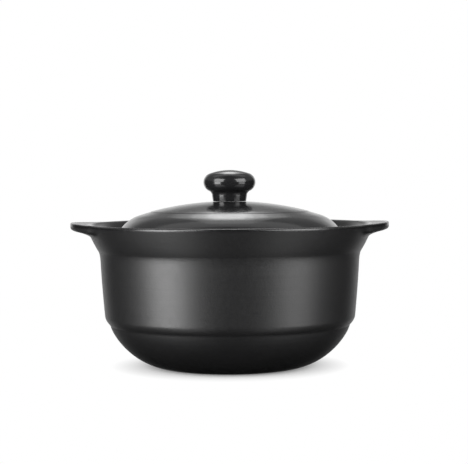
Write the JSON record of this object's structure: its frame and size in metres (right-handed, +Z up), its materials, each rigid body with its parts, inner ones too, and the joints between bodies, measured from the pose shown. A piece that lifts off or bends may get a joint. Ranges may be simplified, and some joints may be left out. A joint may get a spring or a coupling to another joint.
{
  "type": "ceramic stew pot",
  "caption": "Round black ceramic stew pot with a flared collar, flat wing handles at the rim and a glossy domed lid with a mushroom knob that lifts off.",
  "frame": {"origin": "middle of the base, on the surface that the pot stands on", "axes": "+Z up through the knob, +X towards the right handle, +Y to the back as seen with the handles left and right"},
  "size_m": [0.187, 0.1684, 0.115],
  "materials": {
    "body_glaze": "satin",
    "lid_glaze": "gloss"
  },
  "bodies": {
    "pot": {"pot_body": "body_glaze", "handle_left": "body_glaze", "handle_right": "body_glaze"},
    "lid": {"lid": "lid_glaze", "lid_knob": "lid_glaze"}
  },
  "joints": [
    {"name": "lid_lift", "type": "slide", "parent": "pot", "child": "lid", "axis": [0, 0, 1], "range_m": [0, 0.12]}
  ]
}
